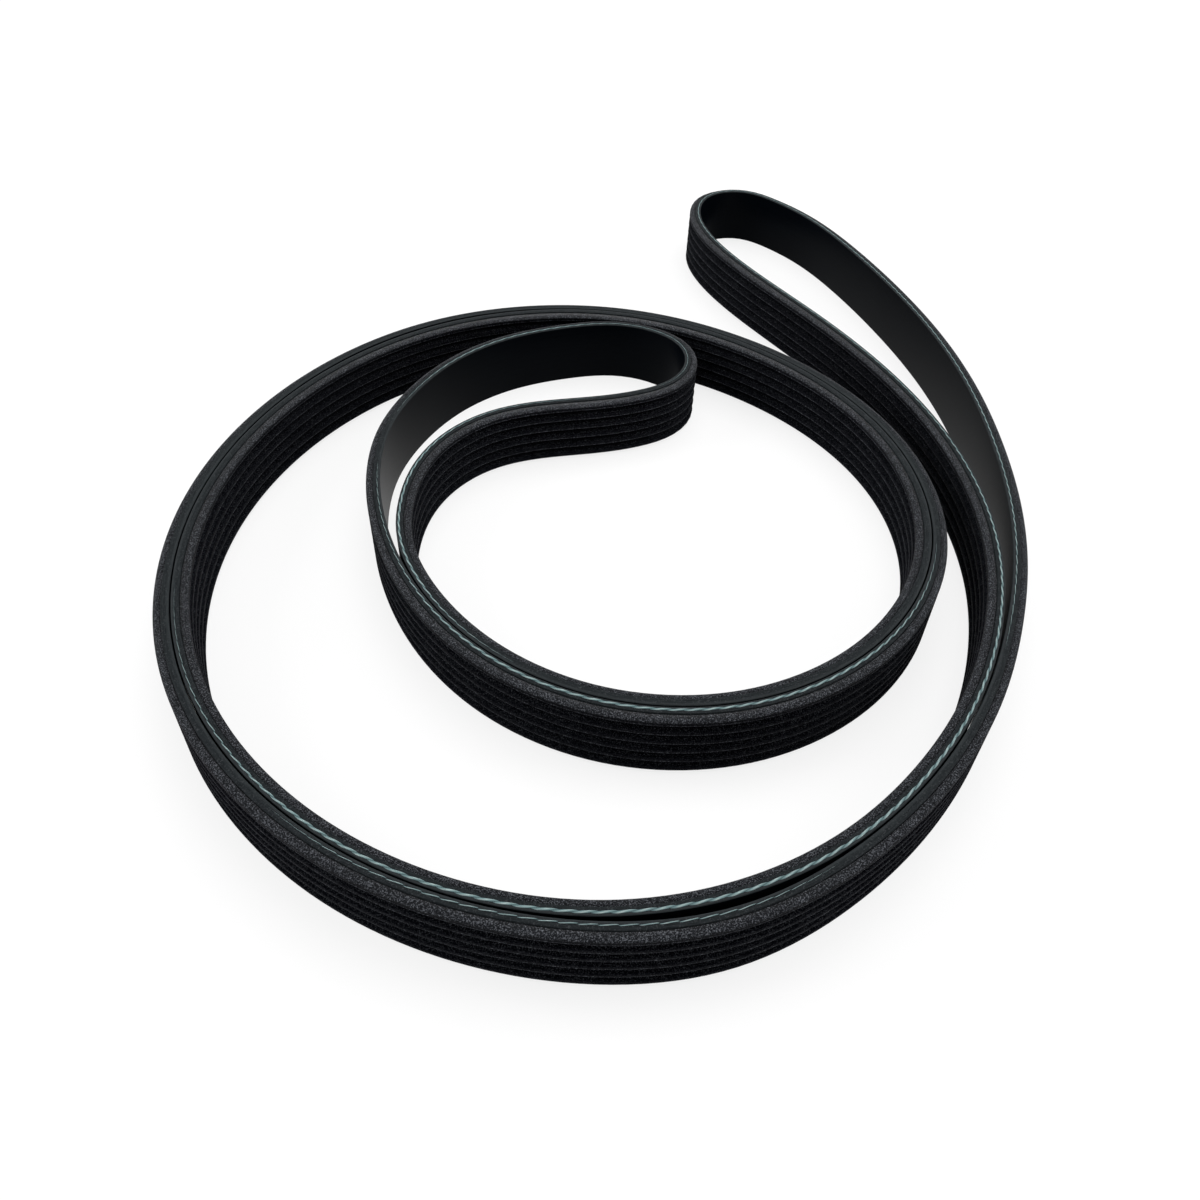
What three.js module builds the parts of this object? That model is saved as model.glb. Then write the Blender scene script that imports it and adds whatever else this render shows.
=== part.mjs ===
// A six-rib serpentine belt for an engine's accessory drive, lying as it comes out of its sleeve:
// the closed belt is flattened back to back, coiled about one and a third turns, and stands on one cut edge.
// Millimetres, +Z up. The floor is z = 0 and the origin is under the middle of the belt's box.

import * as THREE from 'three';

// Section, across the belt
const ribCount = 6;
const ribPitch = 3.56;
const ribDepth = 2.2;
const ribTipWidth = 1.2;
const flankAngle = 20; // degrees from the rib's middle plane
const bodyThickness = 2.1; // smooth back to groove floor

// Tension cord that the cut lays bare along the upper edge
const cordDiameter = 0.8;
const cordInset = 0.9; // smooth back to the cord's middle
const cordStandsProud = 0.2;

// Clearances of the coil
const backGap = 0.4; // between the two smooth backs where the belt is doubled
const turnGap = 0.4; // between the ribs of the inner loop and the turn that it rests on

// Plan of the coil
const facetAngle = 10; // most that the belt turns from one facet to the next, in degrees
const coilMiddle = new THREE.Vector2(0, 8);

const beltThickness = bodyThickness + ribDepth;
const beltWidth = ribCount * ribPitch;

// The doubled belt, from where the outer loop closes to where the inner loop opens. Each row is a
// bearing in degrees clockwise from +X, the distance of the two backs from the coil's middle, and how
// much wider than backGap the backs stand apart.
const doubledRun = [
  [30, 110.5, 0],
  [45, 112, 0],
  [60, 115.2, 0.2],
  [75, 118.5, 1.3],
  [90, 119.5, 0.5],
  [120, 118.7, 0],
  [150, 117.6, 0],
  [180, 116.7, 0],
  [210, 118.2, 0.2],
  [240, 121, 0.6],
  [270, 118.2, 0],
  [300, 109.8, 0],
  [330, 102.3, 0],
  [360, 93.4, 0],
  [390, 81.9, 0],
  [420, 70.8, 0],
  [450, 61.6, 0],
  [480, 55.9, 0],
  [510, 55.2, 0],
];

// The inner loop, between the two ends of the doubled run: first out to the turn outside it, then the
// stretch that rests there (bearing, and slack beyond turnGap), then round the end and back.
const innerLoopOut = [[-56.5, -5], [-63, 11.4], [-67.3, 31], [-67.5, 51], [-61.6, 72.3], [-50.5, 91], [-34.5, 105]];
const innerLoopRest = [[262, 3], [270.5, 0.2], [277.5, 0.3]];
const innerLoopBack = [
  [22.8, 106.3], [25.3, 95], [20, 84], [9, 76.8], [-6, 72], [-22, 68.3], [-38, 61.5],
  [-50.5, 49.3], [-57.5, 34], [-59.5, 16.5], [-57.5, 1],
];

// The outer loop, from the doubled run's start, along the near strand, round the end and back.
const outerLoop = [
  [106.7, -21], [112.8, 8], [112.5, 38.5], [106, 69], [93.5, 99.5], [76.5, 128.5], [59.5, 153],
  [45.5, 175], [36.9, 194.6], [34.7, 211.6], [41.1, 226.6], [53.5, 230.2], [66, 223], [78.5, 209],
  [91.5, 186], [104, 156], [114, 124], [120, 90], [121.4, 57], [119.9, 30.5], [115.9, 6.4], [107.8, -20.6],
];

// Point at a bearing and a distance from the coil's middle
function fromMiddle(bearing, distance) {
  const angle = THREE.MathUtils.degToRad(-bearing);
  return new THREE.Vector2(Math.cos(angle), Math.sin(angle)).multiplyScalar(distance).add(coilMiddle);
}

// One strand of the doubled run: side is 1 for the strand on the coil's outside and -1 for the other
function doubledStrand(side) {
  return doubledRun.map(([bearing, distance, extraGap]) =>
    fromMiddle(bearing, distance + (side * (backGap + extraGap)) / 2));
}

// Distance of the doubled run from the coil's middle at any bearing
function runDistance(bearing) {
  const next = doubledRun.findIndex((row) => row[0] >= bearing);
  const [fromBearing, fromDistance] = doubledRun[next - 1];
  const [toBearing, toDistance] = doubledRun[next];
  return THREE.MathUtils.mapLinear(bearing, fromBearing, toBearing, fromDistance, toDistance);
}

// Places on the smooth back where the inner loop's ribs rest on the ribs of the turn outside it
function restingPoints() {
  const reach = backGap / 2 + 2 * beltThickness + turnGap;
  return innerLoopRest.map(([bearing, slack]) => fromMiddle(bearing, runDistance(bearing) - reach - slack));
}

// Spans between the path's points: those of the doubled run turn evenly with the bearing, so that
// both strands get the same facets, and null marks the spans of the two loops
function doubledSpans() {
  return doubledRun.slice(1).map(([bearing], i) => Math.round((bearing - doubledRun[i][0]) / facetAngle));
}

// The smooth back's line in plan, clockwise round the whole belt, with the facets of each span
function beltPath() {
  const toPoints = (rows) => rows.map(([x, y]) => new THREE.Vector2(x, y));
  const innerLoop = [...toPoints(innerLoopOut), ...restingPoints(), ...toPoints(innerLoopBack)];
  const runSpans = doubledSpans();
  return {
    points: [...doubledStrand(1), ...innerLoop, ...doubledStrand(-1).reverse(), ...toPoints(outerLoop)],
    spans: [
      ...runSpans,
      ...new Array(innerLoop.length + 1).fill(null),
      ...runSpans.reverse(),
      ...new Array(outerLoop.length + 1).fill(null),
    ],
  };
}

// Closed curve with steady bending through the points: the second derivative at each point is
// found by passing round the ring until it settles
function bendAt(points) {
  const count = points.length;
  const lengths = points.map((point, i) => point.distanceTo(points[(i + 1) % count]));
  const slopes = points.map((point, i) =>
    points[(i + 1) % count].clone().sub(point).divideScalar(lengths[i]));
  const bends = points.map(() => new THREE.Vector2());
  for (let pass = 0; pass < 60; pass += 1) {
    for (let i = 0; i < count; i += 1) {
      const before = (i + count - 1) % count;
      bends[i].subVectors(slopes[i], slopes[before]).multiplyScalar(6)
        .addScaledVector(bends[before], -lengths[before])
        .addScaledVector(bends[(i + 1) % count], -lengths[i])
        .divideScalar(2 * (lengths[before] + lengths[i]));
    }
  }
  return { lengths, bends };
}

// Stations along the belt: a place on the back's line and the direction in which the ribs stand
function beltStations({ points, spans }) {
  const { lengths, bends } = bendAt(points);
  const stations = [];
  points.forEach((start, i) => {
    const next = (i + 1) % points.length;
    const length = lengths[i];
    const placeAt = (t) => start.clone().multiplyScalar(1 - t).addScaledVector(points[next], t)
      .addScaledVector(bends[i], (length ** 2 / 6) * ((1 - t) ** 3 - (1 - t)))
      .addScaledVector(bends[next], (length ** 2 / 6) * (t ** 3 - t));
    const headingAt = (t) => points[next].clone().sub(start)
      .addScaledVector(bends[i], (length ** 2 / 6) * (1 - 3 * (1 - t) ** 2))
      .addScaledVector(bends[next], (length ** 2 / 6) * (3 * t ** 2 - 1)).normalize();
    const turned = Math.acos(THREE.MathUtils.clamp(headingAt(0).dot(headingAt(1)), -1, 1));
    const steps = spans[i] ?? Math.max(1, Math.ceil(THREE.MathUtils.radToDeg(turned) / facetAngle));
    for (let step = 0; step < steps; step += 1) {
      const heading = headingAt(step / steps);
      stations.push({ place: placeAt(step / steps), outward: new THREE.Vector2(-heading.y, heading.x) });
    }
  });
  return stations;
}

// Section of the belt as [distance out from the smooth back, height], counter-clockwise: the lower
// cut edge, the ribs from the lowest up, and the upper cut edge with the bare cord's half-round
function beltSection() {
  const flankHeight = ribDepth * Math.tan(THREE.MathUtils.degToRad(flankAngle));
  const section = [[0, 0], [bodyThickness, 0]];
  for (let rib = 0; rib < ribCount; rib += 1) {
    const middle = (rib + 0.5) * ribPitch;
    section.push([bodyThickness, middle - ribTipWidth / 2 - flankHeight]);
    section.push([beltThickness, middle - ribTipWidth / 2]);
    section.push([beltThickness, middle + ribTipWidth / 2]);
    section.push([bodyThickness, middle + ribTipWidth / 2 + flankHeight]);
  }
  section.push([bodyThickness, beltWidth]);
  section.push([cordInset + cordDiameter / 2, beltWidth]);
  section.push([cordInset, beltWidth + cordStandsProud]);
  section.push([cordInset - cordDiameter / 2, beltWidth]);
  section.push([0, beltWidth]);
  return section;
}

// One closed ring of the section carried round the stations
function sweepSection(section, stations) {
  const positions = [];
  stations.forEach(({ place, outward }) => {
    section.forEach(([out, height]) => {
      positions.push(place.x + outward.x * out, place.y + outward.y * out, height);
    });
  });
  const indices = [];
  stations.forEach((_, i) => {
    const ring = i * section.length;
    const nextRing = ((i + 1) % stations.length) * section.length;
    section.forEach((__, j) => {
      const k = (j + 1) % section.length;
      indices.push(ring + j, ring + k, nextRing + k);
      indices.push(ring + j, nextRing + k, nextRing + j);
    });
  });
  const geometry = new THREE.BufferGeometry();
  geometry.setAttribute('position', new THREE.Float32BufferAttribute(positions, 3));
  geometry.setIndex(indices);
  geometry.computeVertexNormals();
  return geometry;
}

// The belt, moved so that the middle of its box in plan is at the origin
function makeBelt() {
  const geometry = sweepSection(beltSection(), beltStations(beltPath()));
  geometry.computeBoundingBox();
  const middle = geometry.boundingBox.getCenter(new THREE.Vector3());
  geometry.translate(-middle.x, -middle.y, 0);
  const rubber = new THREE.MeshStandardMaterial({ color: 0x17181a, roughness: 0.72, metalness: 0 });
  const belt = new THREE.Mesh(geometry, rubber);
  belt.name = 'ribbed_belt';
  return belt;
}

const group = new THREE.Group();
group.add(makeBelt());

export default group;
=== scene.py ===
"""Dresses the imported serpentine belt: a fine moulded belt, the bare tension cord and a plain studio.

Everything is in metres, +Z up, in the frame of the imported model. The belt is one closed loop, laid
back to back, coiled clockwise and standing on a cut edge, with an open loop at each end of the coil.
"""

import logging
import math
from dataclasses import dataclass, replace
from enum import Enum

import bpy
import numpy as np
from bpy.types import Material, Node, NodeSocket, NodeTree, Object
from mathutils import Matrix, Vector


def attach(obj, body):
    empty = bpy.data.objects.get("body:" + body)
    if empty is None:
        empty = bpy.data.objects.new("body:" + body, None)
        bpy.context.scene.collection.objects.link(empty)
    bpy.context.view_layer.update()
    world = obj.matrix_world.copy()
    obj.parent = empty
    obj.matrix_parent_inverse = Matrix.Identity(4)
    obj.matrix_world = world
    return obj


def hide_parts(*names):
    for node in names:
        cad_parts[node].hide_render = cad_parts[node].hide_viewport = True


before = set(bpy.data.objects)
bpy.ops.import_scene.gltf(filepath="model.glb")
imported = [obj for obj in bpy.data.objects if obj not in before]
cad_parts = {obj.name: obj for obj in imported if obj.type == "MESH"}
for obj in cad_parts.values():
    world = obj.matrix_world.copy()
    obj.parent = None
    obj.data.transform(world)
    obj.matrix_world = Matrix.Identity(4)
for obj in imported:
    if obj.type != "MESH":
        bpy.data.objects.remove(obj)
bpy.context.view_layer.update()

MM = 0.001
LOG = logging.getLogger("serpentine_belt")

Point = tuple[float, float]
Colour = tuple[float, float, float]
WHITE = (1.0, 1.0, 1.0)

# What the meshes carry for the finishes
BELT_MAP = "along_and_across"
# Share of the outer flanks' lighter tone: painted light for the light that falls on them, against the shaded
# inner flanks
PAINTED_LIT_SHARE = "painted_lit_share"
# Level of pale fibre speckle, set by where light falls, so it is partly painted light; on the cut edge's
# back corner it places a painted highlight
LINT_AND_LIGHT = "pale_lint_and_light"
LOBE = "lobe_height"

# Noise of the shared effects
FINE_DETAIL = 2.0
MIDDLE_OF_NOISE = (0.35, 0.65)
FIBRE_ROUGHNESS = 0.6
FIBRE_DISTORTION = 0.4
FIBRE_FLOOR = 0.85
FIBRE_PEAK = 0.66
PATCH_SCALE = 420.0

# Colour sockets of a mix node, which share their names with its other sockets
FIRST_COLOUR, SECOND_COLOUR = 6, 7
MIXED_COLOUR = 2


class Strand(Enum):
    """Stretches of the belt, in the order in which its path runs through them."""

    OUTSIDE = "doubled run, the strand on the coil's outside"
    INNER_LOOP = "open loop inside the coil"
    INSIDE = "doubled run, the strand on the coil's inside"
    OUTER_LOOP = "open loop that leaves the coil"


class Zone(Enum):
    """Finishes round the belt's section, in the order of the mesh's material slots."""

    BACK = 0
    CUT_EDGE = 1
    RIBS = 2
    GROUND_FLANK = 3


@dataclass(frozen=True)
class PathSamples:
    """The smooth back's line in plan, sampled along the whole belt.

    Attributes:
        place: Points on the smooth back, one row of x and y each, in metres.
        outward: Unit vectors from the smooth back towards the rib tips.
        along: Distance along the belt of each sample, in metres.
    """

    place: np.ndarray
    outward: np.ndarray
    along: np.ndarray


def measure_closed(place: np.ndarray) -> tuple[np.ndarray, np.ndarray]:
    """Closes a line and measures along it.

    Args:
        place: One row of x and y for each point.

    Returns:
        The points with the first one again at the end, and the distance along the line to each.
    """
    closed = np.concatenate([place, place[:1]])
    spans = np.linalg.norm(np.diff(closed, axis=0), axis=1)
    return closed, np.concatenate([[0.0], np.cumsum(spans)])


@dataclass
class CoilPlan:
    """Plan of the coiled belt, in millimetres, with the same points as the solid.

    Attributes:
        thickness: From the smooth back to the rib tips.
    """

    thickness: float
    back_gap: float = 0.4
    turn_gap: float = 0.4
    middle: Point = (0.0, 8.0)
    facets_per_point: int = 60
    doubled_run: tuple[tuple[float, float, float], ...] = (
        (30, 110.5, 0), (45, 112, 0), (60, 115.2, 0.2), (75, 118.5, 1.3), (90, 119.5, 0.5),
        (120, 118.7, 0), (150, 117.6, 0), (180, 116.7, 0), (210, 118.2, 0.2), (240, 121, 0.6),
        (270, 118.2, 0), (300, 109.8, 0), (330, 102.3, 0), (360, 93.4, 0), (390, 81.9, 0),
        (420, 70.8, 0), (450, 61.6, 0), (480, 55.9, 0), (510, 55.2, 0),
    )
    inner_loop_out: tuple[Point, ...] = (
        (-56.5, -5), (-63, 11.4), (-67.3, 31), (-67.5, 51), (-61.6, 72.3), (-50.5, 91), (-34.5, 105),
    )
    inner_loop_rest: tuple[Point, ...] = ((262, 3), (270.5, 0.2), (277.5, 0.3))
    inner_loop_back: tuple[Point, ...] = (
        (22.8, 106.3), (25.3, 95), (20, 84), (9, 76.8), (-6, 72), (-22, 68.3), (-38, 61.5),
        (-50.5, 49.3), (-57.5, 34), (-59.5, 16.5), (-57.5, 1),
    )
    outer_loop: tuple[Point, ...] = (
        (106.7, -21), (112.8, 8), (112.5, 38.5), (106, 69), (93.5, 99.5), (76.5, 128.5), (59.5, 153),
        (45.5, 175), (36.9, 194.6), (34.7, 211.6), (41.1, 226.6), (53.5, 230.2), (66, 223),
        (78.5, 209), (91.5, 186), (104, 156), (114, 124), (120, 90), (121.4, 57), (119.9, 30.5),
        (115.9, 6.4), (107.8, -20.6),
    )

    def from_middle(self, bearing: np.ndarray, distance: np.ndarray) -> np.ndarray:
        """Places points round the coil's middle.

        A point is the middle plus its distance times the cosine and minus the sine of its bearing.

        Args:
            bearing: Degrees clockwise from +X.
            distance: Distances from the coil's middle, in millimetres.

        Returns:
            One row of x and y for each point, in millimetres.
        """
        angle = np.radians(bearing)
        spoke = np.stack([np.cos(angle), -np.sin(angle)], axis=1)
        return np.array(self.middle) + spoke * np.asarray(distance)[:, None]

    def doubled_strand(self, side: int) -> np.ndarray:
        """Points of one strand of the doubled run: side is 1 for the outside and -1 for the inside."""
        bearing, distance, extra = np.array(self.doubled_run).T
        return self.from_middle(bearing, distance + side * (self.back_gap + extra) / 2)

    def resting_points(self) -> np.ndarray:
        """Points where the inner loop's ribs rest on the ribs of the turn outside it.

        Returns:
            One row of x and y for each point, in millimetres.
        """
        bearing, slack = np.array(self.inner_loop_rest).T
        run_bearing, run_distance, _ = np.array(self.doubled_run).T
        reach = self.back_gap / 2 + 2 * self.thickness + self.turn_gap
        return self.from_middle(bearing, np.interp(bearing, run_bearing, run_distance) - reach - slack)

    def points(self) -> np.ndarray:
        """All points of the closed path, clockwise seen from above.

        Returns:
            One row of x and y for each point, in millimetres.
        """
        return np.concatenate([
            self.doubled_strand(1),
            np.array(self.inner_loop_out),
            self.resting_points(),
            np.array(self.inner_loop_back),
            self.doubled_strand(-1)[::-1],
            np.array(self.outer_loop),
        ])

    def strand_of_point(self) -> list[Strand]:
        """Says which strand each point of the path belongs to.

        Returns:
            A strand for each point, in the order of points().
        """
        run = len(self.doubled_run)
        inner = len(self.inner_loop_out) + len(self.inner_loop_rest) + len(self.inner_loop_back)
        return (
            [Strand.OUTSIDE] * run
            + [Strand.INNER_LOOP] * inner
            + [Strand.INSIDE] * run
            + [Strand.OUTER_LOOP] * len(self.outer_loop)
        )

    def curve(self) -> tuple[np.ndarray, np.ndarray]:
        """Samples the closed curve with steady bending through the points.

        Each span is a cubic in t from 0 to 1: the straight blend of its two ends, plus a sixth of its
        length squared times the bend at each end, weighted by t cubed minus t from that end. The bends
        solve the ring of equations that makes the slope run on through every point.

        Returns:
            Places and unit headings, facets_per_point rows for each point, in millimetres.
        """
        start = self.points()
        end = np.roll(start, -1, axis=0)
        length = np.linalg.norm(end - start, axis=1)
        slope = (end - start) / length[:, None]
        before = np.roll(length, 1)
        count = len(start)
        ring = np.diag(2 * (before + length))
        index = np.arange(count)
        ring[index, index - 1] += before
        ring[index, (index + 1) % count] += length
        bend = np.linalg.solve(ring, 6 * (slope - np.roll(slope, 1, axis=0)))
        bend_next = np.roll(bend, -1, axis=0)
        t = (np.arange(self.facets_per_point) / self.facets_per_point)[None, :, None]
        weight = (length**2 / 6)[:, None, None]
        a, b = start[:, None, :], end[:, None, :]
        m, n = bend[:, None, :] * weight, bend_next[:, None, :] * weight
        place = a * (1 - t) + b * t + m * ((1 - t) ** 3 - (1 - t)) + n * (t**3 - t)
        heading = b - a + m * (1 - 3 * (1 - t) ** 2) + n * (3 * t**2 - 1)
        heading /= np.linalg.norm(heading, axis=2, keepdims=True)
        return place.reshape(-1, 2), heading.reshape(-1, 2)

    def sample(self, spacing: float) -> PathSamples:
        """Samples the back's line at an even spacing and centres it as the solid is centred.

        Args:
            spacing: Distance wanted between samples, in millimetres.

        Returns:
            The samples, in metres. The last one is a spacing before the first.
        """
        place, heading = self.curve()
        closed, travelled = measure_closed(place)
        count = int(round(travelled[-1] / spacing))
        along = np.arange(count) * travelled[-1] / count
        turned = np.unwrap(np.arctan2(heading[:, 1], heading[:, 0]))
        whole_turns = round((turned[-1] - turned[0]) / math.tau)
        turned = np.append(turned, turned[0] + math.tau * whole_turns)
        angle = np.interp(along, travelled, turned)
        x, y = (np.interp(along, travelled, closed[:, axis]) for axis in (0, 1))
        outward = np.stack([-np.sin(angle), np.cos(angle)], axis=1)
        placed = np.stack([x, y], axis=1)
        both = np.concatenate([placed, placed + outward * self.thickness])
        centre = (both.min(axis=0) + both.max(axis=0)) / 2
        return PathSamples((placed - centre) * MM, outward, along * MM)

    def distance_at(self, strand: Strand, step: float) -> float:
        """Distance along the belt of a place that is counted in points from the start of a strand.

        Args:
            strand: The stretch of the belt that the place lies on.
            step: Points from the start of that stretch, with a fraction for a place between two.

        Returns:
            The distance, in metres.
        """
        _, travelled = measure_closed(self.curve()[0])
        facet = (self.strand_of_point().index(strand) + step) * self.facets_per_point
        return float(np.interp(facet, np.arange(len(travelled)), travelled)) * MM


@dataclass(frozen=True)
class Outline:
    """A closed section outline, with a finish for each of its edges.

    Attributes:
        out: Distance of each point from the smooth back, in millimetres.
        height: Height of each point above the floor, in millimetres.
        zone: Finish of the edge from each point to the next.
        lit_share: Share of the outer flanks' lighter tone at each point, from 0 to 1; this tone is painted
            light.
        lint_and_light: Level of pale fibre speckle and painted light at each point, from 0 to 1.
    """

    out: np.ndarray
    height: np.ndarray
    zone: list[Zone]
    lit_share: np.ndarray
    lint_and_light: np.ndarray


@dataclass(frozen=True)
class Corner:
    """A corner of the belt's section, in millimetres.

    Attributes:
        out: Distance from the smooth back.
        height: Height above the floor.
        radius: Fillet radius, or 0 for a sharp corner.
        zone: Finish of the edge that follows, and of the corner's own fillet.
        lit_share: Share of the outer flanks' painted lit tone, from 0 to 1, at the fillet's start and end.
        lint_and_light: Level of pale fibre speckle and painted light, from 0 to 1, at the same two places.
    """

    out: float
    height: float
    radius: float
    zone: Zone
    lit_share: Point = (0.0, 0.0)
    lint_and_light: Point = (0.0, 0.0)


@dataclass
class BeltSection:
    """Section of the six-rib belt, in millimetres. Painted lit shares and light levels go from 0 to 1."""

    rib_count: int = 6
    rib_pitch: float = 3.56
    rib_depth: float = 2.2
    rib_tip_width: float = 1.2
    flank_angle: float = 20.0
    body_thickness: float = 2.1
    back_corner_radius: float = 0.3
    edge_corner_radius: float = 0.12
    shoulder_radius: float = 0.3
    burr_radius: float = 0.12
    groove_radius: float = 0.3
    crease_width: float = 0.16
    crease_depth: float = 0.25
    arc_steps: int = 3
    # Painted lit shares of the outer flanks, and levels of fibre speckle set by where light falls: high on
    # the lit mid-flank and shoulder, low in the grooves as painted shade
    crease_light_level: float = 0.6
    tip_light_level: float = 0.8
    flank_middle: float = 0.85
    groove_lint_and_light: float = 0.05
    flank_lint_and_light: float = 0.42
    shoulder_lint_and_light: float = 0.22
    face_lint_and_light: float = 0.14

    @property
    def thickness(self) -> float:
        """Smooth back to rib tips."""
        return self.body_thickness + self.rib_depth

    @property
    def width(self) -> float:
        """Across the belt, cut edge to cut edge."""
        return self.rib_count * self.rib_pitch

    def edge_corners(self, foot: float, slant: float) -> list[Corner]:
        """Corners of the lower cut edge, up to the foot of the lowest rib's outer flank.

        Args:
            foot: Height of that flank's foot.
            slant: Rise of a flank for each millimetre out.

        Returns:
            The corners, from the smooth back to the flank. A crease lies between edge and flank.
        """
        body, lip = self.body_thickness, self.body_thickness + self.crease_width
        crease = foot + self.crease_depth
        half_light_level = (self.crease_light_level, self.crease_light_level)
        return [
            # The back corner's fillet gets the full level, which places the cut edge's painted highlight
            # line there
            Corner(0.0, 0.0, self.back_corner_radius, Zone.CUT_EDGE, lint_and_light=(1.0, 1.0)),
            Corner(body, 0.0, self.edge_corner_radius, Zone.CUT_EDGE),
            Corner(body, crease, 0.0, Zone.CUT_EDGE),
            # From the crease out, the outer flank gets the painted lit tone and full fibre speckle
            Corner(lip, crease, 0.0, Zone.GROUND_FLANK, half_light_level, half_light_level),
            Corner(lip, foot + self.crease_width * slant, 0.0, Zone.GROUND_FLANK, (1.0, 1.0), (1.0, 1.0)),
        ]

    def tip_corners(self, rib: int, slant: float) -> list[Corner]:
        """Corners of one rib's tip, upwards, and the middle of the flank above it, which gets painted light.

        The lower corner is sharp, and from it a pale line of fibres and painted highlight fades towards
        the tip's face; the upper one is a rounded shoulder. Where the rib is the lowest or the highest, its
        outer flank's painted lit tone ends at the corner.

        Args:
            rib: The rib, counted from the lowest.
            slant: Rise of a flank for each millimetre of depth.

        Returns:
            The corners.
        """
        middle = (rib + 0.5) * self.rib_pitch
        half_tip = self.rib_tip_width / 2
        burr_lit_share = (self.tip_light_level, 0.0) if rib == 0 else (0.0, 0.0)
        topmost = rib == self.rib_count - 1
        shoulder_lit_share = (0.0, self.tip_light_level) if topmost else (0.0, 0.0)
        shoulder_zone = Zone.GROUND_FLANK if topmost else Zone.RIBS
        shoulder_end = self.tip_light_level if topmost else self.shoulder_lint_and_light
        tip = [
            Corner(self.thickness, middle - half_tip, self.burr_radius, Zone.RIBS, burr_lit_share,
                   (self.groove_lint_and_light, 1.0)),
            Corner(self.thickness, middle, 0.0, Zone.RIBS, lint_and_light=(self.face_lint_and_light, self.face_lint_and_light)),
            Corner(self.thickness, middle + half_tip, self.shoulder_radius, shoulder_zone, shoulder_lit_share,
                   (self.shoulder_lint_and_light, shoulder_end)),
        ]
        if topmost:
            return tip
        # The middle of the flank above faces up and gets more fibre speckle as painted light
        above = middle + half_tip + self.flank_middle * slant
        mid_flank = Corner(self.thickness - self.flank_middle, above, 0.0, Zone.RIBS,
                         lint_and_light=(self.flank_lint_and_light, self.flank_lint_and_light))
        return [*tip, mid_flank]

    def corners(self) -> list[Corner]:
        """Corners of the whole section.

        Returns:
            The corners, counter-clockwise from the smooth back's lower corner.
        """
        slant = math.tan(math.radians(self.flank_angle))
        half_foot = self.rib_tip_width / 2 + self.rib_depth * slant
        lower_edge = self.edge_corners(self.rib_pitch / 2 - half_foot, slant)
        corners = list(lower_edge)
        for rib in range(self.rib_count):
            if rib > 0:
                middle, half_floor = rib * self.rib_pitch, self.rib_pitch / 2 - half_foot
                corners += [
                    Corner(self.body_thickness, height, self.groove_radius, Zone.RIBS,
                           lint_and_light=(self.groove_lint_and_light, self.groove_lint_and_light))
                    for height in (middle - half_floor, middle + half_floor)
                ]
            corners += self.tip_corners(rib, slant)
        return corners + [replace(corner, height=self.width - corner.height) for corner in lower_edge[::-1]]

    def outline(self) -> Outline:
        """Rounds the whole section.

        A fillet's arc starts and ends where its circle touches the two edges, and its points turn
        evenly about the circle's middle. The painted lit share and the level of fibre speckle and painted
        light go evenly along the arc.

        Returns:
            The outline, counter-clockwise from the smooth back's lower corner.
        """
        corners = self.corners()
        points = np.array([(corner.out, corner.height) for corner in corners])
        out, zone, lit_share, lint_and_light = [], [], [], []
        for i, corner in enumerate(corners):
            arc = self.fillet(points[i - 1], points[i], points[(i + 1) % len(points)], corner.radius)
            out.extend(arc)
            zone.extend([corner.zone] * len(arc))
            lit_share.extend(np.linspace(*corner.lit_share, len(arc)))
            lint_and_light.extend(np.linspace(*corner.lint_and_light, len(arc)))
        zone[-1] = Zone.BACK
        placed = np.array(out)
        return Outline(placed[:, 0], placed[:, 1], zone, np.array(lit_share), np.array(lint_and_light))

    def fillet(self, before: np.ndarray, corner: np.ndarray, after: np.ndarray,
               radius: float) -> np.ndarray:
        """Points of a corner's fillet, or the corner itself where the radius is 0.

        Args:
            before: The corner before this one.
            corner: The corner that is rounded.
            after: The corner after this one.
            radius: Fillet radius.

        Returns:
            One row for each point of the arc, in the direction of the outline.
        """
        if radius == 0:
            return corner[None, :]
        back = (before - corner) / np.linalg.norm(before - corner)
        on = (after - corner) / np.linalg.norm(after - corner)
        half = math.acos(float(np.clip(back @ on, -1, 1))) / 2
        bisector = (back + on) / np.linalg.norm(back + on)
        centre = corner + bisector * radius / math.sin(half)
        first = corner + back * radius / math.tan(half) - centre
        turn = math.pi - 2 * half
        side = math.copysign(1.0, float(-back[0] * on[1] + back[1] * on[0]))
        angles = side * turn * np.linspace(0, 1, self.arc_steps + 1)
        cos, sin = np.cos(angles), np.sin(angles)
        arc = np.stack([first[0] * cos - first[1] * sin, first[0] * sin + first[1] * cos], axis=1)
        return centre + arc


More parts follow.
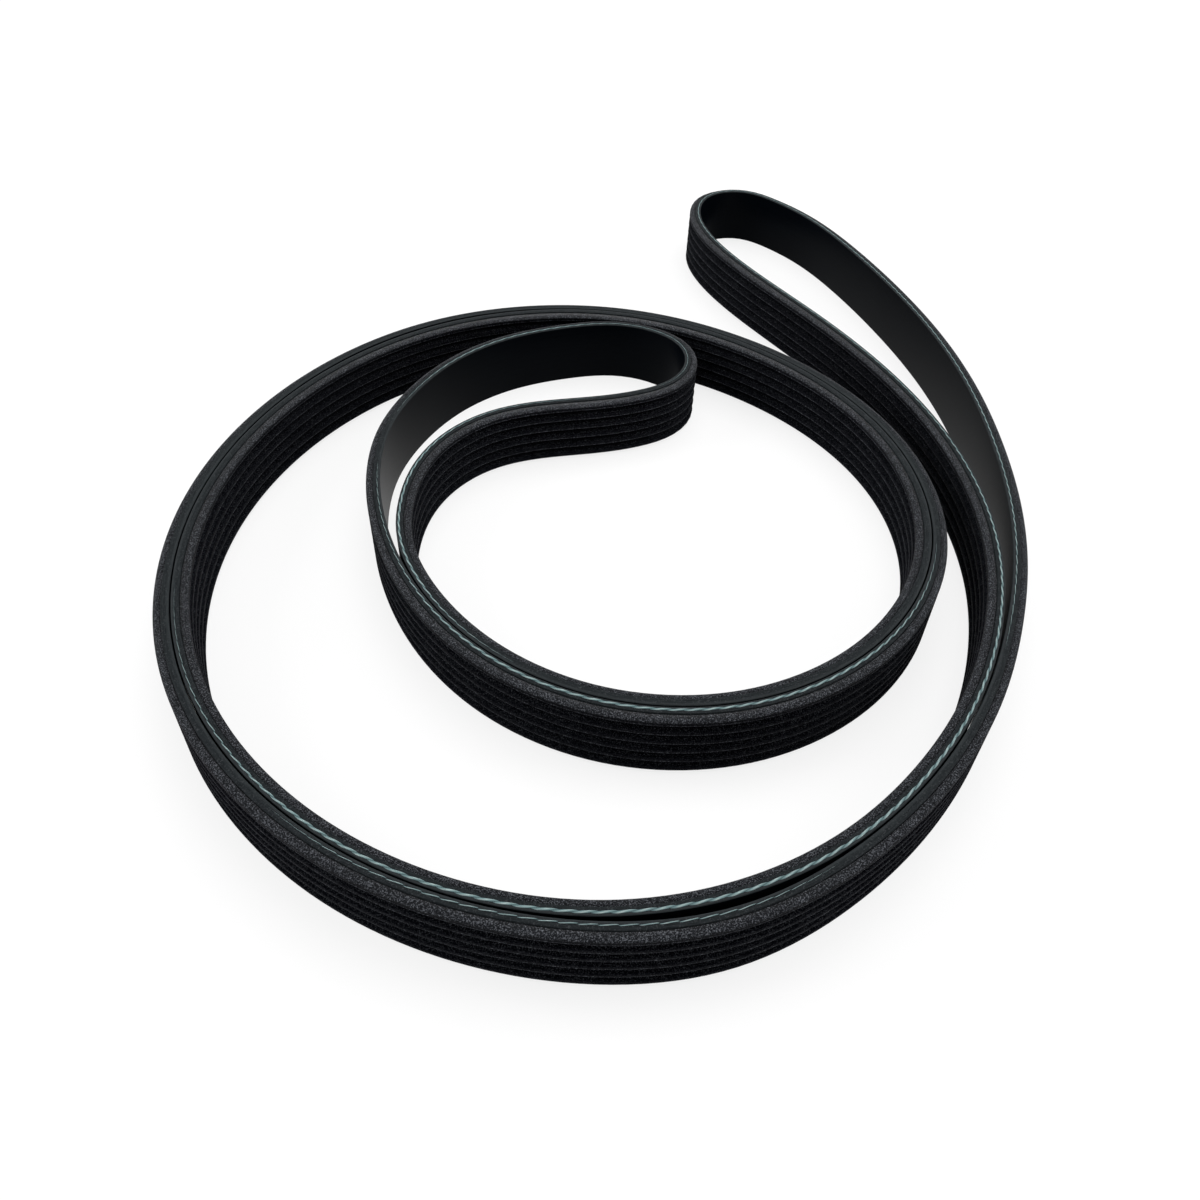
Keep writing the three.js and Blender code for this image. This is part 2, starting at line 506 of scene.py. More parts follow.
class NodeBook:
    """Adds nodes to a tree and places shared effect groups."""

    def __init__(self, tree: NodeTree) -> None:
        """Works on one node tree."""
        self.tree = tree

    def add(self, kind: str, **settings: object) -> Node:
        """Adds a node and sets its properties.

        Args:
            kind: The node's type.
            **settings: Its properties by name.

        Returns:
            The node.
        """
        node = self.tree.nodes.new(kind)
        for name, value in settings.items():
            setattr(node, name, value)
        return node

    def link(self, source: NodeSocket, target: NodeSocket) -> None:
        """Links an output to an input."""
        self.tree.links.new(source, target)

    def feed(self, node: Node, values: dict[int | str, object]) -> None:
        """Links or sets a node's inputs.

        Args:
            node: The node.
            values: A socket, a number or a colour for each input, by its name or number.
        """
        for key, value in values.items():
            if isinstance(value, NodeSocket):
                self.link(value, node.inputs[key])
            else:
                node.inputs[key].default_value = (*value, 1.0) if isinstance(value, tuple) else value

    def math(self, operation: str, first: object, second: object) -> NodeSocket:
        """Adds a clamped math node.

        Args:
            operation: What it works out.
            first: A socket or a number.
            second: A socket or a number.

        Returns:
            The node's output.
        """
        node = self.add("ShaderNodeMath", operation=operation, use_clamp=True)
        self.feed(node, {0: first, 1: second})
        return node.outputs[0]

    def noise(self, vector: NodeSocket, scale: object, roughness: float = 0.5,
              distortion: float = 0.0) -> NodeSocket:
        """Adds a noise texture.

        Args:
            vector: Where it is read.
            scale: Its scale, a socket or a number.
            roughness: How strongly its finer layers show.
            distortion: How far it is warped.

        Returns:
            The noise's value.
        """
        node = self.add("ShaderNodeTexNoise")
        self.feed(node, {"Vector": vector, "Scale": scale, "Detail": FINE_DETAIL})
        self.feed(node, {"Roughness": roughness, "Distortion": distortion})
        return node.outputs["Fac"]

    def stretch(self, value: NodeSocket, low: object, high: float) -> NodeSocket:
        """Maps low to 0 and high to 1, and clamps.

        Args:
            value: The value that is mapped.
            low: What becomes 0, a socket or a number.
            high: What becomes 1.

        Returns:
            The mapped value.
        """
        node = self.add("ShaderNodeMapRange")
        self.feed(node, {"Value": value, "From Min": low, "From Max": high})
        return node.outputs["Result"]

    def blend(self, factor: NodeSocket, first: object, second: object) -> NodeSocket:
        """Mixes two colours.

        Args:
            factor: Share of the second colour.
            first: A socket or a colour.
            second: A socket or a colour.

        Returns:
            The mixed colour.
        """
        node = self.add("ShaderNodeMix", data_type="RGBA")
        self.feed(node, {"Factor": factor, FIRST_COLOUR: first, SECOND_COLOUR: second})
        return node.outputs[MIXED_COLOUR]

    def mix_shaders(self, share: NodeSocket, first: Node, second: Node) -> NodeSocket:
        """Mixes two shaders.

        Args:
            share: Share of the second shader.
            first: The first shader.
            second: The second shader.

        Returns:
            The mixed shader.
        """
        node = self.add("ShaderNodeMixShader")
        self.feed(node, {0: share, 1: first.outputs[0], 2: second.outputs[0]})
        return node.outputs["Shader"]

    def attribute(self, name: str) -> NodeSocket:
        """Reads a number that the mesh stores at its points."""
        return self.add("ShaderNodeAttribute", attribute_name=name).outputs["Fac"]

    def group(self, tree: NodeTree, **values: float) -> Node:
        """Places a shared group and sets its inputs.

        Args:
            tree: The group.
            **values: Its inputs by name.

        Returns:
            The group's node.
        """
        node = self.add("ShaderNodeGroup")
        node.node_tree = tree
        self.feed(node, values)
        return node

    def marks(self, streaks: NodeTree, density: Point) -> NodeSocket:
        """Places the effect of drawn-out marks, with its marks per metre across and along the belt."""
        return self.group(streaks, Across=density[0], Along=density[1]).outputs["Mask"]


def new_effect(name: str, inputs: dict[str, float], outputs: tuple[str, ...]) -> tuple[NodeBook, Node, Node]:
    """Makes an empty shared effect.

    Args:
        name: The group's name.
        inputs: Its inputs by name, with their default values.
        outputs: The names of its outputs.

    Returns:
        A book on the group, and the nodes of its inputs and outputs.
    """
    tree = bpy.data.node_groups.new(name, "ShaderNodeTree")
    for socket_name, value in inputs.items():
        socket = tree.interface.new_socket(socket_name, in_out="INPUT", socket_type="NodeSocketFloat")
        socket.default_value = value
    for socket_name in outputs:
        tree.interface.new_socket(socket_name, in_out="OUTPUT", socket_type="NodeSocketFloat")
    book = NodeBook(tree)
    return book, book.add("NodeGroupInput"), book.add("NodeGroupOutput")


def fibre_group() -> NodeTree:
    """Shared effect of short fibres that stand out of cut rubber.

    The mask is fine noise, stretched so that a share of it stays dark, times a slower noise that
    makes patches. The height is the fine noise itself.

    Returns:
        A group with inputs Scale, Density and Patches, and outputs Mask and Height.
    """
    defaults = {"Scale": 4200.0, "Density": 0.5, "Patches": 0.4}
    book, inputs, outputs = new_effect("standing_fibres", defaults, ("Mask", "Height"))
    where = book.add("ShaderNodeTexCoord").outputs["Object"]
    fine = book.noise(where, inputs.outputs["Scale"], FIBRE_ROUGHNESS, FIBRE_DISTORTION)
    tips = book.stretch(fine, book.math("SUBTRACT", FIBRE_FLOOR, inputs.outputs["Density"]), FIBRE_PEAK)
    patches = book.stretch(book.noise(where, PATCH_SCALE), *MIDDLE_OF_NOISE)
    bare = book.math("MULTIPLY", inputs.outputs["Patches"], book.math("SUBTRACT", 1.0, patches))
    mask = book.math("MULTIPLY", tips, book.math("SUBTRACT", 1.0, bare))
    book.feed(outputs, {"Mask": mask, "Height": fine})
    return book.tree


def streak_group() -> NodeTree:
    """Shared effect of marks drawn out along the belt, as the knife and the press leave them.

    The mask is noise on the belt's own map, where one axis runs along the belt and is squeezed.

    Returns:
        A group with inputs Across and Along, in marks per metre, and output Mask.
    """
    defaults = {"Across": 3000.0, "Along": 120.0}
    book, inputs, outputs = new_effect("drawn_out_marks", defaults, ("Mask",))
    split = book.add("ShaderNodeSeparateXYZ")
    book.feed(split, {"Vector": book.add("ShaderNodeUVMap", uv_map=BELT_MAP).outputs["UV"]})
    joined = book.add("ShaderNodeCombineXYZ")
    for axis, density in (("X", "Along"), ("Y", "Across")):
        scaled = book.add("ShaderNodeMath", operation="MULTIPLY")
        book.feed(scaled, {0: split.outputs[axis], 1: inputs.outputs[density]})
        book.feed(joined, {axis: scaled.outputs[0]})
    mask = book.stretch(book.noise(joined.outputs["Vector"], 1.0), *MIDDLE_OF_NOISE)
    book.feed(outputs, {"Mask": mask})
    return book.tree


@dataclass(frozen=True)
class Effects:
    """The shared effects that the finishes use."""

    streaks: NodeTree
    fibres: NodeTree


@dataclass(frozen=True)
class SmoothBackFinish:
    """Near-black satin rubber of the belt's flat back, which only shines where it is seen edge-on."""

    name: str = "smooth_back_rubber"
    dark: Colour = (0.0004, 0.0009, 0.0018)
    light: Colour = (0.0008, 0.0015, 0.0025)
    roughness: Point = (0.32, 0.4)
    specular: float = 0.025
    relief: float = 0.00001
    marks: Point = (1400.0, 90.0)
    grain_scale: float = 2600.0

    def build(self, effects: Effects) -> Material:
        """Builds the material: faint drawn-out marks change its colour, gloss and relief.

        Args:
            effects: The shared effects.

        Returns:
            The material.
        """
        material, book, shader = new_material(self.name, self.roughness[0], self.specular)
        marks = book.marks(effects.streaks, self.marks)
        grain = book.group(effects.fibres, Scale=self.grain_scale).outputs["Height"]
        least, most = self.roughness
        rough = book.add("ShaderNodeMapRange")
        book.feed(rough, {"Value": grain, "To Min": least, "To Max": most})
        colour = book.blend(marks, self.dark, self.light)
        book.feed(shader, {"Base Color": colour, "Roughness": rough.outputs["Result"]})
        add_relief(book, shader, grain, self.relief)
        return material


@dataclass(frozen=True)
class CutEdgeFinish:
    """Knife-cut edge of the body: dull grey-green black, with a painted highlight line at the back's corner.
    """

    name: str = "cut_edge_rubber"
    dark: Colour = (0.005, 0.0068, 0.008)
    light: Colour = (0.012, 0.015, 0.0165)
    fibre: Colour = (0.036, 0.039, 0.042)
    # Painted highlight along the back's corner, where its fillet catches the light
    corner_glint: Colour = (0.024, 0.028, 0.03)
    roughness: float = 0.55
    specular: float = 0.05
    relief: float = 0.00004
    marks: Point = (3000.0, 260.0)
    stub_scale: float = 2400.0
    stub_density: float = 0.3
    stub_patches: float = 0.5
    corner_starts: float = 0.6
    corner_kept: float = 0.5

    def build(self, effects: Effects) -> Material:
        """Builds the material: knife marks along the belt, a few cut fibres and the corner's painted
        highlight.

        Args:
            effects: The shared effects.

        Returns:
            The material.
        """
        material, book, shader = new_material(self.name, self.roughness, self.specular)
        marks = book.marks(effects.streaks, self.marks)
        stubs = book.group(effects.fibres, Scale=self.stub_scale, Density=self.stub_density,
                           Patches=self.stub_patches)
        rubber = book.blend(marks, self.dark, self.light)
        rubber = book.blend(stubs.outputs["Mask"], rubber, self.fibre)
        # Painted highlight: on the back's corner the pale colour is blended in, part of it broken by the
        # knife marks
        corner = book.stretch(book.attribute(LINT_AND_LIGHT), self.corner_starts, 1.0)
        broken = book.math("MULTIPLY", marks, 1 - self.corner_kept)
        corner_glint = book.math("MULTIPLY", corner, book.math("ADD", self.corner_kept, broken))
        book.feed(shader, {"Base Color": book.blend(corner_glint, rubber, self.corner_glint)})
        add_relief(book, shader, marks, self.relief)
        return material


@dataclass(frozen=True)
class RibFinish:
    """Fibre-filled rib rubber: sooty ribs, and a broken pale line at each lower tip corner that is partly
    fibres and partly a painted highlight of the floor's light. The outermost flanks are painted a lighter
    grey for the light that falls on them, while the same rubber in the grooves stays dark as painted shade.

    The outermost flanks use a copy of this rubber with more sheen.
    """

    name: str = "rib_rubber"
    soot: Colour = (0.0005, 0.0007, 0.0018)
    # Painted lit tone of the outermost flanks: the same rubber, lighter for the light that falls on it
    flank: Colour = (0.0052, 0.0058, 0.007)
    fibre: Colour = (0.13, 0.138, 0.155)
    # Pale line at the lower tip corners: fibres, and a painted highlight of the floor's light
    fibre_and_highlight_line: Colour = (0.045, 0.048, 0.056)
    roughness: float = 0.85
    specular: float = 0.01
    sheen: float = 0.016
    relief: float = 0.00008
    marks: Point = (1500.0, 420.0)
    speckle_scale: float = 3400.0
    speckle_density: float = 0.345
    speckle_patches: float = 0.3
    pale_line_starts: float = 0.75

    def build(self, effects: Effects) -> Material:
        """Builds the material: the mesh says where the outer flanks' lighter tone is painted, and how much
        fibre speckle and painted light each place gets.

        Args:
            effects: The shared effects.

        Returns:
            The material.
        """
        material, book, shader = new_material(self.name, self.roughness, self.specular)
        lit_share, lint_and_light = book.attribute(PAINTED_LIT_SHARE), book.attribute(LINT_AND_LIGHT)
        speckle = book.group(effects.fibres, Scale=self.speckle_scale, Density=self.speckle_density,
                             Patches=self.speckle_patches)
        marks = book.marks(effects.streaks, self.marks)
        # Painted light: the outer flanks blend towards the lighter tone, and the rest keeps the near-black
        # as painted shade
        rubber = book.blend(lit_share, self.soot, self.flank)
        # Fibre speckle, spread by the mesh's level, so it is partly painted light
        rubber = book.blend(book.math("MULTIPLY", speckle.outputs["Mask"], lint_and_light), rubber, self.fibre)
        # Painted highlight: a pale line along the lower tip corners, partly fibres, broken by the marks and
        # left off the lit outer flanks
        unlit_share = book.math("SUBTRACT", 1.0, lit_share)
        line = book.math("MULTIPLY", book.stretch(lint_and_light, self.pale_line_starts, 1.0), unlit_share)
        broken = book.math("MULTIPLY", line, marks)
        book.feed(shader, {"Base Color": book.blend(broken, rubber, self.fibre_and_highlight_line), "Sheen Weight": self.sheen})
        add_relief(book, shader, speckle.outputs["Height"], self.relief)
        return material


@dataclass(frozen=True)
class CordFinish:
    """Dipped polyester cord, teal, with a painted highlight on its crests and painted shade between them."""

    name: str = "teal_cord"
    # Painted shade in the crevices between the plies
    valley: Colour = (0.004, 0.012, 0.014)
    ply: Colour = (0.11, 0.18, 0.187)
    # Painted highlight on the crests of the twist
    crest: Colour = (0.4, 0.48, 0.47)
    roughness: float = 0.5
    specular: float = 0.2
    relief: float = 0.00003
    filaments: Point = (9000.0, 500.0)
    ply_range: Point = (0.1, 0.45)
    highlight_starts: float = 0.7

    def build(self, effects: Effects) -> Material:
        """Builds the material: painted shade low on the twist and teal above it, with a painted highlight
        on the crests, broken by single filaments along it.

        Args:
            effects: The shared effects.

        Returns:
            The material.
        """
        material, book, shader = new_material(self.name, self.roughness, self.specular)
        lobe = book.attribute(LOBE)
        filaments = book.marks(effects.streaks, self.filaments)
        # Painted shade in the crevices, then the cord's own teal
        cord = book.blend(book.stretch(lobe, *self.ply_range), self.valley, self.ply)
        # Painted highlight on the crests, broken by the filaments
        lit = book.math("MULTIPLY", book.stretch(lobe, self.highlight_starts, 1.0), filaments)
        book.feed(shader, {"Base Color": book.blend(lit, cord, self.crest)})
        add_relief(book, shader, filaments, self.relief)
        return material


def new_material(name: str, roughness: float, specular: float) -> tuple[Material, NodeBook, Node]:
    """Makes an empty node material.

    Args:
        name: The material's name.
        roughness: Its roughness, where nothing is linked to it.
        specular: Its specular level.

    Returns:
        The material, a book on its node tree, and its shader, already linked to the output.
    """
    material = bpy.data.materials.new(name)
    material.use_nodes = True
    material.node_tree.nodes.clear()
    book = NodeBook(material.node_tree)
    shader = book.add("ShaderNodeBsdfPrincipled")
    book.feed(shader, {"Roughness": roughness, "Specular IOR Level": specular})
    book.feed(book.add("ShaderNodeOutputMaterial"), {"Surface": shader.outputs["BSDF"]})
    return material, book, shader


def add_relief(book: NodeBook, shader: Node, height: NodeSocket, depth: float) -> None:
    """Bumps a shader by a height from 0 to 1.

    Args:
        book: The material's book.
        shader: The material's shader.
        height: The height.
        depth: What a height of 1 stands for, in metres.
    """
    bump = book.add("ShaderNodeBump")
    book.feed(bump, {"Distance": depth, "Height": height})
    book.feed(shader, {"Normal": bump.outputs["Normal"]})


def directly_seen(book: NodeBook) -> NodeSocket:
    """Tells the rays that show a background: camera, glossy and transmission rays.

    Args:
        book: The book of the floor's or the world's tree.

    Returns:
        1 for those rays and 0 for the others.
    """
    rays = book.add("ShaderNodeLightPath")
    mirrored = book.math("MAXIMUM", rays.outputs["Is Glossy Ray"], rays.outputs["Is Transmission Ray"])
    return book.math("MAXIMUM", rays.outputs["Is Camera Ray"], mirrored)


@dataclass
class Tube:
    """A grid of points, rings along one axis and points round each ring, made into a mesh.

    Attributes:
        grid: Points, in metres, shaped rings by points by 3.
        map_along: Distance along the belt of each ring, with one more for the seam where it closes.
        map_across: Distance round the ring of each point, with one more for its own seam.
        closed: True if the last ring joins the first; otherwise both ends get a flat cap.
    """

    grid: np.ndarray
    map_along: np.ndarray
    map_across: np.ndarray
    closed: bool

    def faces(self) -> tuple[np.ndarray, np.ndarray]:
        """Works out the side faces.

        A side face joins point j and j + 1 of a ring with the same two of the next ring.

        Returns:
            Corner indices of all side faces, and the same corners' places on the map.
        """
        rings, count, _ = self.grid.shape
        spans = rings if self.closed else rings - 1
        i, j = np.meshgrid(np.arange(spans), np.arange(count), indexing="ij")
        i_next, j_next = (i + 1) % rings, (j + 1) % count
        here, there = i * count, i_next * count
        corners = np.stack([here + j, here + j_next, there + j_next, there + j], axis=2)
        along = np.stack([self.map_along[ring] for ring in (i, i, i + 1, i + 1)], axis=2)
        across = np.stack([self.map_across[point] for point in (j, j + 1, j + 1, j)], axis=2)
        return corners.reshape(-1, 4), np.stack([along, across], axis=3).reshape(-1, 4, 2)

    def build(self, name: str) -> Object:
        """Makes the mesh object, smooth-shaded, with its map, and puts it in the scene.

        Args:
            name: The object's name.

        Returns:
            The object.
        """
        rings, count, _ = self.grid.shape
        sides, side_map = self.faces()
        caps = [] if self.closed else [np.arange(count)[::-1], (rings - 1) * count + np.arange(count)]
        corners = np.concatenate([sides.ravel(), *caps])
        sizes = np.array([4] * len(sides) + [count] * len(caps))
        mesh = bpy.data.meshes.new(name)
        mesh.vertices.add(rings * count)
        mesh.vertices.foreach_set("co", self.grid.astype(np.float32).ravel())
        mesh.loops.add(len(corners))
        mesh.loops.foreach_set("vertex_index", corners.astype(np.int32))
        mesh.polygons.add(len(sizes))
        starts = np.cumsum(sizes) - sizes
        mesh.polygons.foreach_set("loop_start", starts.astype(np.int32))
        mesh.polygons.foreach_set("use_smooth", np.ones(len(sizes), dtype=bool))
        mesh.update(calc_edges=True)
        layer = mesh.uv_layers.new(name=BELT_MAP)
        flat = np.zeros((len(corners), 2), dtype=np.float32)
        flat[: side_map.size // 2] = side_map.reshape(-1, 2)
        layer.data.foreach_set("uv", flat.ravel())
        piece = bpy.data.objects.new(name, mesh)
        bpy.context.scene.collection.objects.link(piece)
        return piece


def store(piece: Object, name: str, values: np.ndarray) -> None:
    """Stores a number at each point of a piece's mesh.

    Args:
        piece: The piece.
        name: The attribute's name.
        values: One number for each point, in the mesh's order.
    """
    attribute = piece.data.attributes.new(name, "FLOAT", "POINT")
    attribute.data.foreach_set("value", values.astype(np.float32).ravel())


@dataclass
class MouldedBelt:
    """The belt itself: the rounded section carried round the coil."""

    plan: CoilPlan
    section: BeltSection
    spacing: float = 3.3
    name: str = "moulded_belt"

    def build(self) -> Object:
        """Carries the section round the path.

        A point is the back's line plus its distance out along the ribs' direction, at its height.

        Returns:
            The belt's object, without its materials.
        """
        samples = self.plan.sample(self.spacing)
        outline = self.section.outline()
        out, height = outline.out * MM, outline.height * MM
        plan = samples.place[:, None, :] + samples.outward[:, None, :] * out[None, :, None]
        level = np.broadcast_to(height[None, :, None], (*plan.shape[:2], 1))
        ring = np.hypot(np.diff(out, append=out[:1]), np.diff(height, append=height[:1]))
        along = np.append(samples.along, samples.along[-1] + self.spacing * MM)
        across = np.concatenate([[0.0], np.cumsum(ring)])
        piece = Tube(np.concatenate([plan, level], axis=2), along, across, closed=True).build(self.name)
        zones = np.array([zone.value for zone in outline.zone], dtype=np.int32)
        piece.data.polygons.foreach_set("material_index", np.tile(zones, len(samples.along)))
        store(piece, PAINTED_LIT_SHARE, np.tile(outline.lit_share, len(samples.along)))
        store(piece, LINT_AND_LIGHT, np.tile(outline.lint_and_light, len(samples.along)))
        return piece

    def dress(self, piece: Object, finishes: dict[Zone, Material]) -> None:
        """Puts the finishes into the slots that the faces name."""
        for zone in Zone:
            piece.data.materials.append(finishes[zone])


@dataclass(frozen=True)
class BarePlace:
    """How much of the cord the knife laid bare at one place.

    Attributes:
        strand: The stretch of the belt that the place lies on.
        step: Points of the plan from the start of that stretch.
        width: Width that shows, in millimetres.
        notch: Depth of the notches between the plies, from 0 for an even line to 1 for separate dashes.
    """

    strand: Strand
    step: float
    width: float
    notch: float


def bare_stretches() -> dict[str, list[BarePlace]]:
    """Lists the stretches where the cord shows.

    Returns:
        The places of each stretch, from its first to its last, in the order of the belt's path.
    """
    outside, inside = Strand.OUTSIDE, Strand.INSIDE
    inner_loop, outer_loop = Strand.INNER_LOOP, Strand.OUTER_LOOP
    stretches = {
        "bare_cord_near_side": (
            (outside, 2.2, 0.02, 1.0), (outside, 2.6, 0.24, 1.0), (outside, 3.1, 0.44, 1.0),
            (outside, 4.5, 0.46, 1.0), (outside, 4.9, 0.3, 1.0), (outside, 5.2, 0.02, 1.0),
        ),
        "bare_cord_inner_turn": (
            (outside, 13.0, 0.05, 1.0), (outside, 13.5, 0.4, 0.8), (outside, 14.2, 0.75, 0.42),
            (outside, 16.8, 0.8, 0.4), (outside, 18.0, 0.5, 0.75), (inner_loop, 0.0, 0.34, 0.95),
            (inner_loop, 1.6, 0.24, 1.0), (inner_loop, 2.2, 0.02, 1.0),
        ),
        # This bare cord along the near loop's far rim also stands in for the rim's pale glare band, as a
        # painted highlight
        "bare_cord_and_glare_far_rim": (
            (inner_loop, 3.3, 0.02, 1.0), (inner_loop, 4.0, 0.2, 0.6), (inner_loop, 5.0, 0.4, 0.3),
            (inner_loop, 6.6, 0.46, 0.3), (inner_loop, 7.8, 0.26, 0.4), (inner_loop, 9.5, 0.24, 0.4),
            (inner_loop, 11.5, 0.14, 0.5), (inner_loop, 12.6, 0.02, 1.0),
        ),
        "bare_cord_inner_loop": (
            (inner_loop, 13.4, 0.02, 1.0), (inner_loop, 15.0, 0.24, 0.6), (inner_loop, 16.3, 0.4, 0.6),
            (inner_loop, 18.0, 0.62, 0.4), (inner_loop, 20.9, 0.62, 0.4), (inside, 0.4, 0.4, 0.8),
            (inside, 1.3, 0.02, 1.0),
        ),
        "bare_cord_outer_turn": (
            (inside, 11.5, 0.02, 1.0), (inside, 12.3, 0.4, 0.9), (inside, 12.9, 0.75, 0.42),
            (inside, 16.5, 0.8, 0.4), (outer_loop, 0.0, 0.66, 0.45), (outer_loop, 2.0, 0.5, 0.55),
            (outer_loop, 6.0, 0.42, 0.6), (outer_loop, 12.0, 0.36, 0.65), (outer_loop, 17.0, 0.46, 0.65),
            (outer_loop, 19.5, 0.46, 0.7), (outer_loop, 20.3, 0.38, 0.95), (outer_loop, 20.9, 0.28, 1.0),
            (outer_loop, 21.4, 0.02, 1.0),
        ),
    }
    return {name: [BarePlace(*row) for row in rows] for name, rows in stretches.items()}


@dataclass
class BareCord:
    """The two-ply tension cord along the upper cut edge, in millimetres."""

    plan: CoilPlan
    section: BeltSection
    inset: float = 0.9
    sunk_share: float = 0.45
    cut_height: float = 0.12
    twist_pitch: float = 8.2
    spacing: float = 0.4
    ring_points: int = 14

    def build(self, name: str, places: list[BarePlace]) -> Object:
        """Winds the cord along one bare stretch.

        Round the cord, the radius goes from valley to crest with the size of the cosine of the angle
        less the twist, so two round plies show with a sharp valley between them. The twist turns once
        in twist_pitch, against the clock. The cord's middle lies under the cut edge by sunk_share of the
        crest's radius, and what would stand higher than cut_height is cut off there.

        Args:
            name: The stretch's name.
            places: How far the cord is bare along it.

        Returns:
            The cord's object.
        """
        marks = np.array([self.plan.distance_at(at.strand, at.step) for at in places])
        samples = self.plan.sample(self.spacing)
        inside = (samples.along >= marks[0]) & (samples.along <= marks[-1])
        along, outward = samples.along[inside], samples.outward[inside]
        place = samples.place[inside] + outward * self.inset * MM
        half_width = np.interp(along, marks, [at.width / 2 for at in places])
        crest = (half_width / math.sqrt(1 - self.sunk_share**2))[:, None]
        valley = crest * (1 - np.interp(along, marks, [at.notch for at in places]))[:, None]
        angle = np.arange(self.ring_points) * math.tau / self.ring_points
        twist = -math.tau * along / (self.twist_pitch * MM)
        lobe = np.abs(np.cos(angle[None, :] - twist[:, None]))
        radius = valley + (crest - valley) * lobe
        sideways, upwards = radius * np.cos(angle), radius * np.sin(angle) - self.sunk_share * crest
        plan = place[:, None, :] + outward[:, None, :] * sideways[:, :, None] * MM
        level = (self.section.width + np.minimum(upwards, self.cut_height)) * MM
        across = np.arange(self.ring_points + 1) / self.ring_points * math.tau * crest.max() * MM
        grid = np.concatenate([plan, level[:, :, None]], axis=2)
        piece = Tube(grid, along, across, closed=False).build(name)
        store(piece, LOBE, lobe)
        return piece


@dataclass(frozen=True)
class SoftLamp:
    """A square soft lamp that faces the coil's middle, in metres and watts."""

    name: str
    place: tuple[float, float, float]
    side: float
    power: float


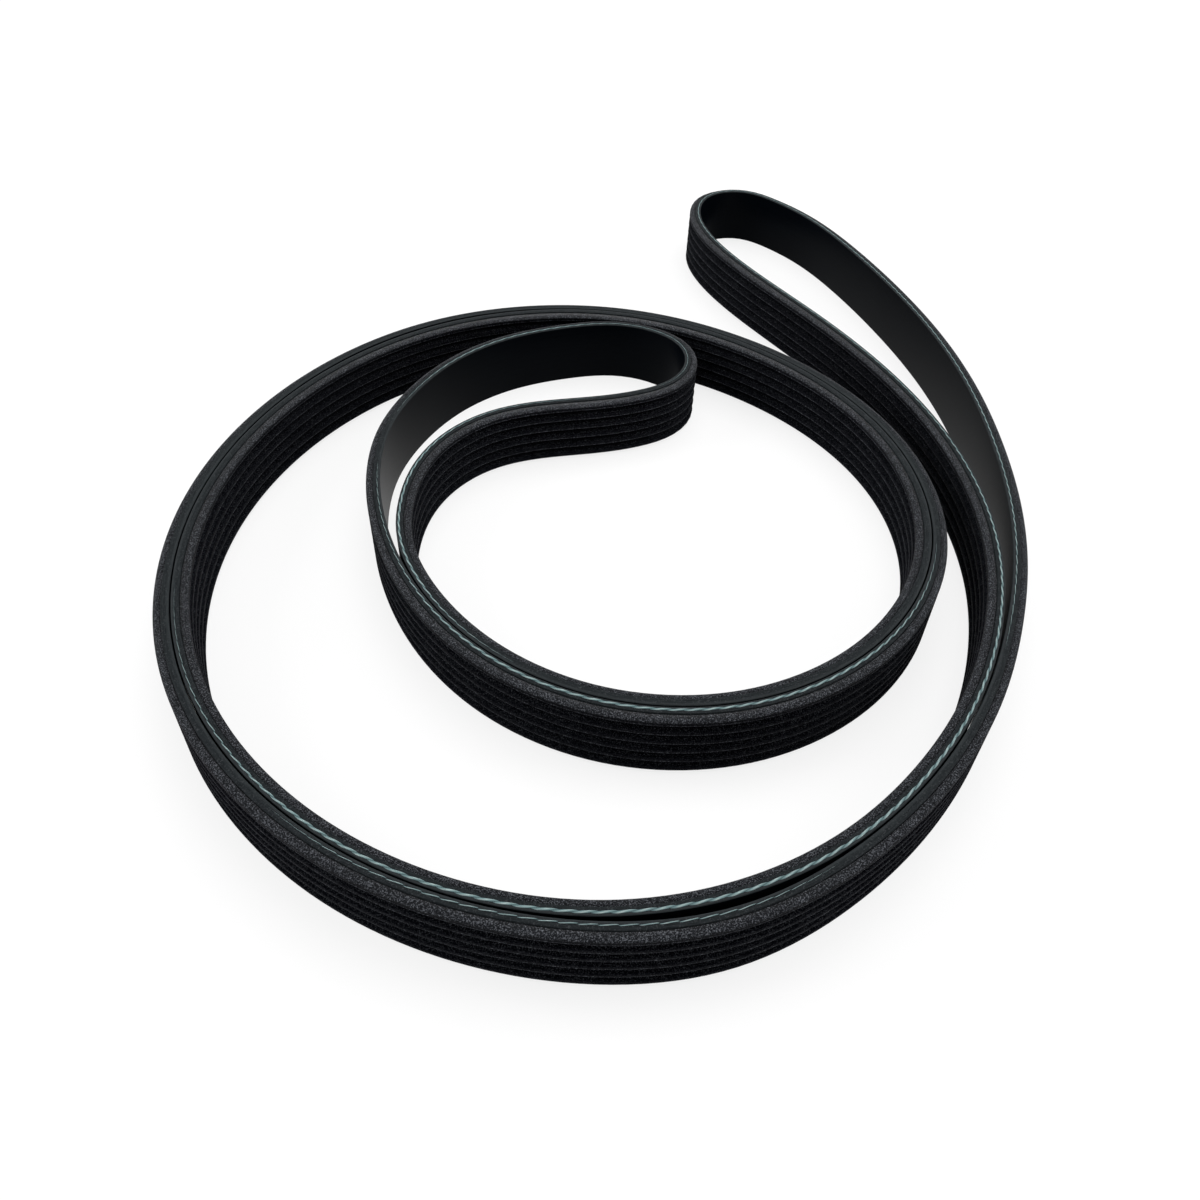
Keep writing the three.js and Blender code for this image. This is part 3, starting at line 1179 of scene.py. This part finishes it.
@dataclass
class Studio:
    """Pale floor, soft lamps and the camera, in metres."""

    focal_length: float = 31.26
    sensor_width: float = 36.0
    clip: Point = (0.01, 60.0)
    camera_height: float = 0.2173
    camera_back: float = 0.2136
    camera_down: float = 45.49
    camera_roll: float = 2.61
    axis_on_floor: Point = (-0.002268, -0.059213)
    floor_side: float = 24.0
    floor_colour: Colour = (0.92, 0.92, 0.92)
    floor_roughness: float = 0.9
    floor_specular: float = 0.5
    floor_glow: float = 0.8
    world_strength: float = 0.55
    lamps: tuple[SoftLamp, ...] = (
        SoftLamp("overhead_softbox", (0.15, 0.35, 1.2), 0.9, 10.0),
        SoftLamp("left_fill", (-1.0, 0.0, 0.6), 0.6, 6.0),
        SoftLamp("right_fill", (1.0, 0.1, 0.6), 0.6, 4.0),
    )

    def build_camera(self) -> None:
        """Aims the camera: it looks along +Y and down, and is rolled about its own axis."""
        down, roll = math.radians(self.camera_down), math.radians(self.camera_roll)
        forward = Vector((0, math.cos(down), -math.sin(down)))
        level_up = Vector((0, math.sin(down), math.cos(down)))
        level_right = Vector((1, 0, 0))
        right = level_right * math.cos(roll) + level_up * math.sin(roll)
        up = level_up * math.cos(roll) - level_right * math.sin(roll)
        lens = bpy.data.cameras.new("photo_camera")
        lens.lens = self.focal_length
        lens.sensor_width = self.sensor_width
        lens.clip_start, lens.clip_end = self.clip
        camera = bpy.data.objects.new("photo_camera", lens)
        bpy.context.scene.collection.objects.link(camera)
        turn = Matrix((right, up, -forward)).transposed().to_4x4()
        aim_x, aim_y = self.axis_on_floor
        place = Vector((aim_x, aim_y - self.camera_back, self.camera_height))
        camera.matrix_world = Matrix.Translation(place) @ turn
        bpy.context.scene.camera = camera

    def build_floor(self) -> None:
        """Lays the pale floor, which camera, glossy and transmission rays see nearly white."""
        half = self.floor_side / 2
        mesh = bpy.data.meshes.new("studio_floor")
        corners = [(-half, -half, 0), (half, -half, 0), (half, half, 0), (-half, half, 0)]
        mesh.from_pydata(corners, [], [(0, 1, 2, 3)])
        floor = bpy.data.objects.new("studio_floor", mesh)
        bpy.context.scene.collection.objects.link(floor)
        material, book, shader = new_material("studio_floor", self.floor_roughness, self.floor_specular)
        book.feed(shader, {"Base Color": self.floor_colour})
        glow = book.add("ShaderNodeEmission")
        share = book.math("MULTIPLY", directly_seen(book), self.floor_glow)
        output = next(node for node in book.tree.nodes if node.type == "OUTPUT_MATERIAL")
        book.feed(output, {"Surface": book.mix_shaders(share, shader, glow)})
        mesh.materials.append(material)

    def build_world(self) -> None:
        """Surrounds the scene with soft light that the camera sees as white."""
        world = bpy.data.worlds.new("studio_world")
        world.use_nodes = True
        world.node_tree.nodes.clear()
        book = NodeBook(world.node_tree)
        soft, white = book.add("ShaderNodeBackground"), book.add("ShaderNodeBackground")
        book.feed(soft, {"Color": WHITE, "Strength": self.world_strength})
        book.feed(white, {"Color": WHITE})
        mixed = book.mix_shaders(directly_seen(book), soft, white)
        book.feed(book.add("ShaderNodeOutputWorld"), {"Surface": mixed})
        bpy.context.scene.world = world

    def build_lamp(self, lamp: SoftLamp) -> None:
        """Hangs one lamp.

        Args:
            lamp: The lamp.
        """
        light = bpy.data.lights.new(lamp.name, "AREA")
        light.size = lamp.side
        light.energy = lamp.power
        holder = bpy.data.objects.new(lamp.name, light)
        bpy.context.scene.collection.objects.link(holder)
        holder.location = lamp.place
        holder.rotation_mode = "QUATERNION"
        holder.rotation_quaternion = (-Vector(lamp.place)).to_track_quat("-Z", "Y")

    def build(self) -> None:
        """Builds the whole studio."""
        self.build_camera()
        self.build_floor()
        self.build_world()
        for lamp in self.lamps:
            self.build_lamp(lamp)
        bpy.context.scene.view_settings.view_transform = "Standard"


def main() -> None:
    """Builds the studio, the belt and its bare cord, and says what was made."""
    logging.basicConfig(level=logging.INFO, format="%(name)s: %(message)s")
    Studio().build()
    effects = Effects(streak_group(), fibre_group())
    section = BeltSection()
    plan = CoilPlan(section.thickness)
    finishes = {
        Zone.BACK: SmoothBackFinish().build(effects),
        Zone.CUT_EDGE: CutEdgeFinish().build(effects),
        Zone.RIBS: RibFinish().build(effects),
        Zone.GROUND_FLANK: RibFinish(name="outer_flank_rubber", sheen=0.11).build(effects),
    }
    belt = MouldedBelt(plan, section)
    moulded = belt.build()
    belt.dress(moulded, finishes)
    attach(moulded, "root")
    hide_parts("ribbed_belt")
    LOG.info("%s: %d faces", moulded.name, len(moulded.data.polygons))
    cord, teal = BareCord(plan, section), CordFinish().build(effects)
    for name, places in bare_stretches().items():
        piece = cord.build(name, places)
        piece.data.materials.append(teal)
        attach(piece, "root")
        LOG.info("%s: %d faces", piece.name, len(piece.data.polygons))


if __name__ == "__main__":
    main()
